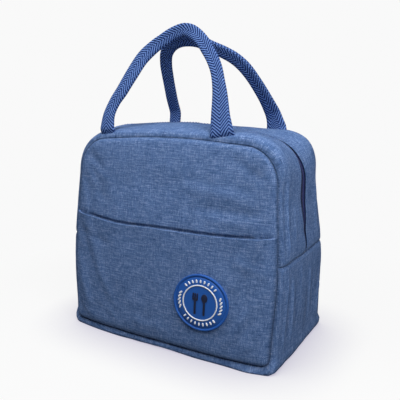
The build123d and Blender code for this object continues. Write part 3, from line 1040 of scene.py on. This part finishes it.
# Each row: across, up the leaning plane from the hinge, width, thickness (mm) and twist (degrees)
FRONT_STRAP = (
    (-76.7, -8, 17, 3.4, 0),
    (-77.3, 3, 17, 4.4, 0),
    (-78.5, 19, 13.8, 5.2, 0),
    (-75, 33, 13.6, 5.4, 0),
    (-69, 45, 14.6, 5.2, 0),
    (-62, 61, 16, 5, 0),
    (-53, 79, 15.6, 5, 4),
    (-42, 90.7, 13.6, 5.4, 14),
    (-32.6, 97.5, 12.6, 5.8, 28),
    (-22, 104, 12.8, 5.8, 32),
    (-10, 107.2, 13.4, 5.6, 22),
    (1, 104.2, 13.6, 5.4, 8),
    (13, 95, 13.2, 5.2, 0),
    (21, 85.5, 12.8, 5.2, 0),
    (28, 76.5, 12.6, 5.2, 0),
    (34.5, 65.5, 12.4, 5.2, 0),
    (39.5, 53, 12.8, 5, 0),
    (44, 39, 15.4, 4.6, 0),
    (48.5, 20, 19, 4, 0),
    (52.5, 4, 23, 3.4, 0),
    (54.5, -9, 24.5, 3, 0),
)
BACK_STRAP = (
    (-50.5, -8, 14, 3.4, 0),
    (-50.5, 3, 14, 4.2, 0),
    (-51, 32, 13.8, 5.2, 0),
    (-50, 48, 13.4, 5.2, 0),
    (-48.6, 64, 13.8, 5.2, 0),
    (-47, 76, 14.2, 5.2, 0),
    (-43, 87.5, 14, 5.4, 0),
    (-35, 95.3, 13.4, 5.6, 0),
    (-25, 99.5, 13, 5.6, 0),
    (-14, 100.4, 13, 5.6, 0),
    (-2, 98.4, 13, 5.6, 0),
    (12, 91.7, 13, 5.4, 0),
    (24, 86, 13, 5.2, 0),
    (35, 78.8, 13.4, 5.2, 0),
    (44, 69, 13.6, 5.2, 0),
    (52, 55, 13.8, 5, 0),
    (60, 37, 14.8, 4.6, 0),
    (66.5, 18, 18, 4, 0),
    (70.5, 4, 23, 3.4, 0),
    (73, -9, 25, 3, 0),
)
FRONT_LEAN = math.radians(22.6)
BACK_LEAN = math.radians(25)
ROOT_TUCK = 5 * MM  # how far the last of each end goes in behind the seam
ROOT_REACH = 24  # how far up each end starts to bend in, in mm


def smooth_rows(rows, step):
    """The rows joined by a smooth curve, one new row for each step along it. Each starts with its place."""
    rows = np.asarray(rows, float)
    ends = np.vstack([2 * rows[0] - rows[1], rows, 2 * rows[-1] - rows[-2]])
    t = np.linspace(0, 1, 12, endpoint=False)[:, None]
    fine = []
    for before, start, end, after in zip(ends, ends[1:], ends[2:], ends[3:]):
        squared = 2 * before - 5 * start + 4 * end - after
        cubed = 3 * start - before - 3 * end + after
        fine.append(0.5 * (2 * start + (end - before) * t + squared * t**2 + cubed * t**3))
    fine = np.vstack([*fine, rows[-1:]])
    travelled = np.concatenate([[0], np.cumsum(np.hypot(*np.diff(fine[:, :2], axis=0).T))])
    even = np.linspace(0, travelled[-1], int(travelled[-1] / step))
    return np.stack([np.interp(even, travelled, column) for column in fine.T], -1), even


def strap(name, face, lean, stations, sides=36):
    """A folded webbing band. Its ends bend in from the hinge to the seam between panel and zip strip."""
    rows, travelled = smooth_rows(stations, 1.4)
    across, climb, width, thick, twist = rows.T
    hinge = JOINTS["front_handle_fold" if face == FRONT else "back_handle_fold"]["pos_m"]
    beyond_seam = abs(hinge[1]) - seam_depth(0.0, SEAM_TOP, face)
    tuck = ROOT_TUCK * smoothstep((6 - climb) / 9.5)
    tuck += beyond_seam * smoothstep((ROOT_REACH - climb) / ROOT_REACH)
    y = face * (abs(hinge[1]) - climb * MM * math.sin(lean) - tuck)
    path = np.stack([across * MM, y, hinge[2] + climb * MM * math.cos(lean)], -1)
    ahead = np.gradient(path, axis=0)
    ahead /= np.linalg.norm(ahead, axis=1)[:, None]
    plane = np.array([0, face * math.cos(lean), math.sin(lean)])
    points, uvs = [], []
    angle = np.linspace(0, 2 * math.pi, sides, endpoint=False)
    for i, forward in enumerate(ahead):
        side = np.cross(forward, plane)
        side /= np.linalg.norm(side)
        out = np.cross(side, forward)
        turn = -math.radians(twist[i])
        side, out = side * math.cos(turn) + out * math.sin(turn), out * math.cos(turn) - side * math.sin(turn)
        wide = np.sign(np.cos(angle)) * np.abs(np.cos(angle)) ** 0.55 * width[i] / 2
        deep = np.sign(np.sin(angle)) * np.abs(np.sin(angle)) ** 0.8 * thick[i] / 2
        # The fold leaves an open groove along one edge, and a shallow dent along both faces
        folded = smoothstep((thick[i] - 3.6) / 1.2)
        wide += folded * 1.7 * face * -np.exp(-((deep / 0.8) ** 2)) * (wide * face > 0)
        deep *= 1 - 0.12 * folded * np.exp(-((wide / (0.22 * width[i])) ** 2))
        wobble = 0.25 * math.sin(travelled[i] / 7.3) + 0.2 * math.sin(travelled[i] / 3.9 + 1)
        deep += 0.3 * wobble * np.sign(deep)
        for k in range(sides):
            points.append(path[i] + (side * wide[k] + out * deep[k]) * MM)
            on_top = np.sin(angle[k]) >= 0
            from_edge = abs(wide[k]) if on_top else width[i] - abs(wide[k])
            uvs.append((from_edge * MM, travelled[i] * MM))
    count = len(path)
    faces = grid_faces(count, sides, flip=face == BACK, wrap=True)
    faces += [list(range(sides)), [(count - 1) * sides + k for k in range(sides)][::-1]]
    return make_mesh(name, points, faces, WEBBING, uvs)


# ---------------------------------------------------------------- patch


def on_patch(across, up, height):
    """A point on the patch, across and up from its middle, at a height above the pocket."""
    x, z = PATCH_AT[0] + across, PATCH_AT[1] + up * PATCH_SQUASH
    step = 2 * MM

    def base(px, pz):
        px, pz = np.asarray([px]), np.asarray([pz])
        return panel_y(px, pz, FRONT, (), pocket_stand(px, pz))[0]

    y = base(x, z)
    slope_x = (base(x + step, z) - base(x - step, z)) / (2 * step)
    slope_z = (base(x, z + step) - base(x, z - step)) / (2 * step)
    normal = Vector((slope_x, -1, slope_z)).normalized()
    return Vector((x, y, z)) + normal * height


def disc(name, profile, material, sides=96, middle=True):
    """A round piece on the patch from pairs of radius and height in mm, from the outside in."""
    points, faces = [], grid_faces(len(profile), sides, wrap=True)
    for radius, height in profile:
        for k in range(sides):
            angle = 2 * math.pi * k / sides
            points.append(on_patch(radius * math.cos(angle) * MM, radius * math.sin(angle) * MM, height * MM))
    if middle:
        points.append(on_patch(0, 0, profile[-1][1] * MM))
        start = (len(profile) - 1) * sides
        faces += [[len(points) - 1, start + (k + 1) % sides, start + k][::-1] for k in range(sides)]
    else:
        faces += closing_faces(len(profile), sides)
    return make_mesh(name, points, faces, material)


PATCH_FACE = 1.75  # height of the patch above the pocket, in mm


def raised(pile, loop, height=0.6, edge=0.28):
    """A flat shape with a rounded edge, moulded on the patch. loop goes round it, in mm."""
    loop = np.asarray(loop)
    centre = loop.mean(0)
    away = loop - centre
    size = np.hypot(*away.T)[:, None]
    points = []
    for pull, lift in ((0, -0.2), (0, height - edge), (0.3 * edge, height - 0.3 * edge), (edge, height)):
        ring = centre + away * np.maximum(1 - pull / size, 0.1)
        points += [on_patch(a * MM, b * MM, (PATCH_FACE + lift) * MM) for a, b in ring]
    count = len(loop)
    faces = grid_faces(4, count, wrap=True)
    points.append(on_patch(centre[0] * MM, centre[1] * MM, (PATCH_FACE + height) * MM))
    faces += [[len(points) - 1, 3 * count + (k + 1) % count, 3 * count + k][::-1] for k in range(count)]
    pile.add(points, faces)


def oval(x, y, half_width, half_height, turn=0.0, count=20):
    """Points round an ellipse turned by some degrees."""
    turn = math.radians(turn)
    loop = []
    for k in range(count):
        wide = half_width * math.cos(2 * math.pi * k / count)
        tall = half_height * math.sin(2 * math.pi * k / count)
        across = wide * math.cos(turn) - tall * math.sin(turn)
        up = wide * math.sin(turn) + tall * math.cos(turn)
        loop.append((x + across, y + up))
    return loop


def bar(x, y, width, length):
    """Points round an upright bar with round ends."""
    loop = []
    for k in range(24):
        angle = 2 * math.pi * k / 24
        end = (length - width) / 2 * (1 if math.sin(angle) >= 0 else -1)
        loop.append((x + width / 2 * math.cos(angle), y + end + width / 2 * math.sin(angle)))
    return loop


MARKS_ORBIT = 21.2  # radius of the circle of small marks round the ring


def marks(pile, middles, reach, spacing, half_width, half_height, lean, height):
    """Small ovals round the patch, reach of them to each side of the middles. Angles are in degrees."""
    for middle in middles:
        for step in range(-reach, reach + 1):
            turn = middle + spacing * step
            x = MARKS_ORBIT * math.cos(math.radians(turn))
            y = MARKS_ORBIT * math.sin(math.radians(turn))
            raised(pile, oval(x, y, half_width, half_height, turn + lean), height, 0.35)


def patch():
    """The patch: a round base, a rim, a ring, and raised marks for its dots, leaves, fork and spoon."""
    edge = PATCH_RADIUS
    base = [(edge, -0.3), (edge + 0.1, 0.6), (edge - 0.1, 1.3), (edge - 0.6, 1.6), (edge - 1.5, 1.6)]
    base += [(edge - 2.3, 1.3), (edge - 2.7, 0.9), (edge - 3.2, 1.3), (edge - 3.8, PATCH_FACE)]
    base += [(inner, PATCH_FACE) for inner in (18, 12, 6)]
    rim = [(edge, 1.0), (edge - 0.1, 1.6), (edge - 0.5, 1.95), (edge - 1.1, 2.0), (edge - 1.7, 1.8)]
    rim += [(edge - 2.1, 1.3), (edge - 1.2, 0.9)]
    ring = [(17.7, 1.6), (17.65, 2.1), (17.4, 2.35), (16.7, 2.35), (16.45, 2.1), (16.4, 1.6)]
    pieces = [
        (disc("patch_rubber_base", base, RUBBER), "patch_base", "patch_rubber"),
        (disc("patch_rubber_rim", rim, RUBBER, middle=False), "patch_rim", "patch_rubber"),
        (disc("patch_white_ring", ring, WHITE_RUBBER, middle=False), "patch_ring", "patch_white"),
    ]
    dots, leaves, cutlery = Pile(), Pile(), Pile()
    marks(dots, (90, 270), 4, 11, 1.75, 0.85, 0, 0.55)
    marks(leaves, (0, 180), 2, 9.5, 2.1, 0.9, 55, 0.5)
    raised(cutlery, oval(4.6, 5.2, 3.0, 4.2, count=32))
    raised(cutlery, bar(4.6, -4.4, 1.9, 14.6))
    raised(cutlery, bar(-4.6, -4.4, 1.9, 14.6))
    raised(cutlery, oval(-4.6, 3.0, 2.9, 1.5, count=32))
    for across in (-6.7, -4.6, -2.5):
        raised(cutlery, bar(across, 6.0, 1.2, 6.4))
    pieces += [
        (dots.mesh("patch_white_dots", WHITE_RUBBER), "patch_beads", "patch_white"),
        (leaves.mesh("patch_white_leaves", WHITE_RUBBER), "patch_sprigs", "patch_white"),
        (cutlery.mesh("patch_navy_cutlery", NAVY_RUBBER), "patch_cutlery", "patch_navy"),
    ]
    for obj, node, slot in pieces:
        riding(obj, node, slot=slot)


# ---------------------------------------------------------------- inside

SEAM_INSET = 4.9 * MM
LINER_EDGE = 7.5 * MM
BINDING_INSET = 6.3 * MM  # how far inside the seam the binding tape's middle lies


def panel_layer(name, face, depth, material, rows=48, columns=60):
    """A layer behind a panel, clear of its seams."""
    x, z = panel_grid(rows, columns)
    x = x * (HALF_WIDTH - SEAM_INSET) / HALF_WIDTH
    low, high = edge_heights(x[0])
    z = low + SEAM_INSET + (high - low - 2 * SEAM_INSET) * spread(rows)[:, None] + 0 * x
    y = panel_y(x, z, face, (), -depth)
    return make_grid(name, widen(np.stack([x, y, z], -1)), weave_uv(x, z), material, flip=face == BACK)


def zip_layer(name, face, depth, material):
    """A layer behind a zip strip."""
    s = np.linspace(-S_GUSSET, S_GUSSET, 200)
    x, z, _, _ = outline(s)
    seam = seam_depth(x, z, face) - SEAM_INSET
    y = face * (LINER_EDGE + (seam - LINER_EDGE) * np.linspace(1, 0, 12)[:, None])
    points = wall_points(s + 0 * y, y, depth=depth)
    return make_grid(name, points, weave_uv(s * HALF_LENGTH, y), material, flip=face == BACK)


def gusset_layer(name, depth, material):
    """A layer inside the lower gusset."""
    s = np.linspace(S_GUSSET, 2 - S_GUSSET, 190)
    x, z, _, _ = outline(s)
    front, back = seam_depth(x, z, FRONT) - SEAM_INSET, seam_depth(x, z, BACK) - SEAM_INSET
    y = -front + (front + back) * np.linspace(0, 1, 26)[:, None]
    points = wall_points(s + 0 * y, y, depth=depth)
    return make_grid(name, points, weave_uv(s * HALF_LENGTH, y), material)


def binding(name, face):
    """Folded tape over the raw edges inside the seam round a panel."""
    s = np.linspace(-1, 1, 420)
    x, z, across, up = outline(s)
    depth = seam_depth(x, z, face)
    points, uvs = [], []
    sides = 12
    for i in range(len(s)):
        middle_x, middle_z = x[i] - across[i] * BINDING_INSET, z[i] - up[i] * BINDING_INSET
        centre = np.array([middle_x, face * (depth[i] - BINDING_INSET), middle_z])
        inward = np.array([-across[i], -face, -up[i]]) / math.sqrt(2)
        beside = np.array([-across[i], face, -up[i]]) / math.sqrt(2)
        for k in range(sides):
            angle = 2 * math.pi * k / sides
            points.append(centre + inward * 2.1 * MM * math.cos(angle) + beside * 0.9 * MM * math.sin(angle))
            uvs.append((s[i] * HALF_LENGTH, k * 0.8 * MM))
    faces = grid_faces(len(s), sides, wrap=True, flip=face == BACK)
    faces += closing_faces(len(s), sides)
    return make_mesh(name, points, faces, BINDING, uvs)


for side, face in (("front", FRONT), ("back", BACK)):
    tape = zip_tape(f"{side}_tape", face)
    crossing(tape, face, f"{side}_zip_tape", f"{side}_zip_tape_ends", slot="zip_tape")
    coil = zip_coil(f"{side}_coil", face)
    crossing(coil, face, f"{side}_zip_coil", f"{side}_zip_coil_ends", slot="zip_coil")
    sewn = zip_stitches(f"{side}_zip_stitches", face)
    crossing(sewn, face, slot="outer_fabric")
    panel_foam = thicken(panel_layer(f"{side}_foam_sheet", face, 1.3 * MM, FOAM), 2.7 * MM)
    crossing(panel_foam, face, f"{side}_foam_lower", f"{side}_foam_upper", slot="foam")
    panel_foil = thicken(panel_layer(f"{side}_foil_sheet", face, 4.2 * MM, FOIL), 0.25 * MM)
    crossing(panel_foil, face, f"{side}_lining_lower", f"{side}_lining_upper", slot="foil_lining")
    zip_foam = thicken(zip_layer(f"{side}_zip_foam_sheet", face, 3.2 * MM, FOAM), 1.6 * MM)
    crossing(zip_foam, face, f"{side}_zip_foam", slot="foam")
    zip_foil = thicken(zip_layer(f"{side}_zip_foil_sheet", face, 5.0 * MM, FOIL), 0.25 * MM)
    crossing(zip_foil, face, f"{side}_zip_lining", slot="foil_lining")
    tape_ring = binding(f"{side}_binding_tape", face)
    crossing(tape_ring, face, f"{side}_binding_lower", f"{side}_binding_upper", slot="binding_tape")

gusset_foam = thicken(gusset_layer("gusset_foam_sheet", 1.6 * MM, FOAM), 2.6 * MM)
gusset_foil = thicken(gusset_layer("gusset_foil_sheet", 4.5 * MM, FOIL), 0.25 * MM)
riding(gusset_foam, "lower_gusset_foam", slot="foam")
riding(gusset_foil, "lower_gusset_lining", slot="foil_lining")
riding(end_stops(), "zip_stops", slot="zip_metal")

for side, face, lean, stations in (
    ("front", FRONT, FRONT_LEAN, FRONT_STRAP),
    ("back", BACK, BACK_LEAN, BACK_STRAP),
):
    band = strap(f"{side}_webbing_strap", face, lean, stations)
    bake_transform(band)
    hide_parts(f"{side}_handle")

patch()
for node, material in (("base_board", BOARD), ("slider", ENAMEL), ("puller", ENAMEL)):
    for slot in frame["nodes"][node].material_slots:
        slot.material = material

# ---------------------------------------------------------------- floor, light and camera


def plain_floor():
    """A pale table that glows a little, so that shadows on it stay light. Far off it is all glow."""
    size = 40.0
    paint = Paint("floor", roughness=0.9, Specular_IOR_Level=0.0)
    place = paint.place()
    away = paint.node("VectorMath", {0: place}, operation="LENGTH", output=1)
    near = paint.ramp(away, (0.19, (1, 1, 1)), (0.36, (0, 0, 0)))
    paint.tree.nodes["Color Ramp"].color_ramp.interpolation = "EASE"
    near = paint.node("RGBToBW", {0: near})
    tint = paint.span(paint.noise(place, 3, 2), 0.99, 1.01)
    share = paint.grey(paint.times(tint, paint.times(near, FLOOR_SHADE)))
    paint.finish(share)
    far = paint.math("SUBTRACT", 1.0, near)
    glow = paint.plus(paint.times(far, BACKDROP - FLOOR_GLOW), FLOOR_GLOW)
    # Painted contact shadow: the glow darkens towards CONTACT_SHADE where ambient occlusion finds the bag
    # close above the table
    open_sky = paint.node("AmbientOcclusion", {"Distance": 0.06}, output=1, samples=16)
    shade = paint.ramp(open_sky, (0.35, CONTACT_SHADE), (0.98, (1, 1, 1)))
    paint.set(paint.shader, "Emission Color", shade)
    paint.set(paint.shader, "Emission Strength", glow)
    corners = [(-size, -size, 0), (size, -size, 0), (size, size, 0), (-size, size, 0)]
    floor = make_mesh("floor", corners, [(0, 1, 2, 3)], paint.material)
    floor.visible_diffuse = False
    floor.visible_glossy = False


BACKDROP = 0.947  # brightness of the backdrop and of the far table
FLOOR_GLOW = 0.89  # how strongly the table near the bag glows
FLOOR_SHADE = 0.07  # how much of its light the table takes from the lamps, where shadows fall
CONTACT_SHADE = (0.60, 0.58, 0.70)  # painted contact shadow: the colour the table's glow is darkened to right under the bag
BOUNCE = 0.22  # light from below, as a pale table sends it back
SKY = 0.10  # light from above, besides the softboxes


def softbox(name, place, strength, size):
    """A round soft light that faces the bag."""
    data = bpy.data.lights.new(name, "AREA")
    data.energy = strength
    data.shape = "DISK"
    data.size = size
    obj = bpy.data.objects.new(name, data)
    obj.location = place
    obj.rotation_euler = (Vector(place) - Vector((0, 0, 0.1))).to_track_quat("Z", "Y").to_euler()
    bpy.context.scene.collection.objects.link(obj)


def studio_light():
    """Soft light from the sky and the table, two softboxes, and an even backdrop for the camera."""
    world = bpy.data.worlds.new("studio")
    bpy.context.scene.world = world
    world.use_nodes = True
    tree = world.node_tree
    background = tree.nodes["Background"]
    shown = tree.nodes.new("ShaderNodeBackground")
    background.inputs[0].default_value = (0.95, 0.97, 1.0, 1)
    direction = tree.nodes.new("ShaderNodeTexCoord")
    split = tree.nodes.new("ShaderNodeSeparateXYZ")
    strength = tree.nodes.new("ShaderNodeMapRange")
    for socket, value in (("From Min", -0.1), ("From Max", 0.1), ("To Min", BOUNCE), ("To Max", SKY)):
        strength.inputs[socket].default_value = value
    tree.links.new(direction.outputs["Generated"], split.inputs[0])
    tree.links.new(split.outputs[2], strength.inputs["Value"])
    tree.links.new(strength.outputs[0], background.inputs[1])
    shown.inputs[0].default_value = (BACKDROP, BACKDROP, BACKDROP, 1)
    choose = tree.nodes.new("ShaderNodeMixShader")
    path = tree.nodes.new("ShaderNodeLightPath")
    tree.links.new(path.outputs["Is Camera Ray"], choose.inputs[0])
    tree.links.new(background.outputs[0], choose.inputs[1])
    tree.links.new(shown.outputs[0], choose.inputs[2])
    tree.links.new(choose.outputs[0], tree.nodes["World Output"].inputs[0])
    softbox("softbox", (-0.16, -0.3, 0.88), 4.3, 0.55)
    softbox("side_softbox", (0.56, -0.36, 0.74), 5.8, 0.5)


CAMERA_AT = Vector((267.1, -449.6, 239.2)) * MM
CAMERA_TURN = math.radians(30.36)
CAMERA_DOWN = math.radians(11.47)


def camera():
    """The camera, placed as the photo's was."""
    lens = bpy.data.cameras.new("camera")
    lens.lens = 46.5
    lens.sensor_width = 36
    lens.clip_start = 0.01
    obj = bpy.data.objects.new("camera", lens)
    obj.location = CAMERA_AT
    obj.rotation_euler = (math.pi / 2 - CAMERA_DOWN, 0, CAMERA_TURN)
    bpy.context.scene.collection.objects.link(obj)
    bpy.context.scene.camera = obj


plain_floor()
studio_light()
camera()
bpy.context.scene.view_settings.view_transform = "Standard"
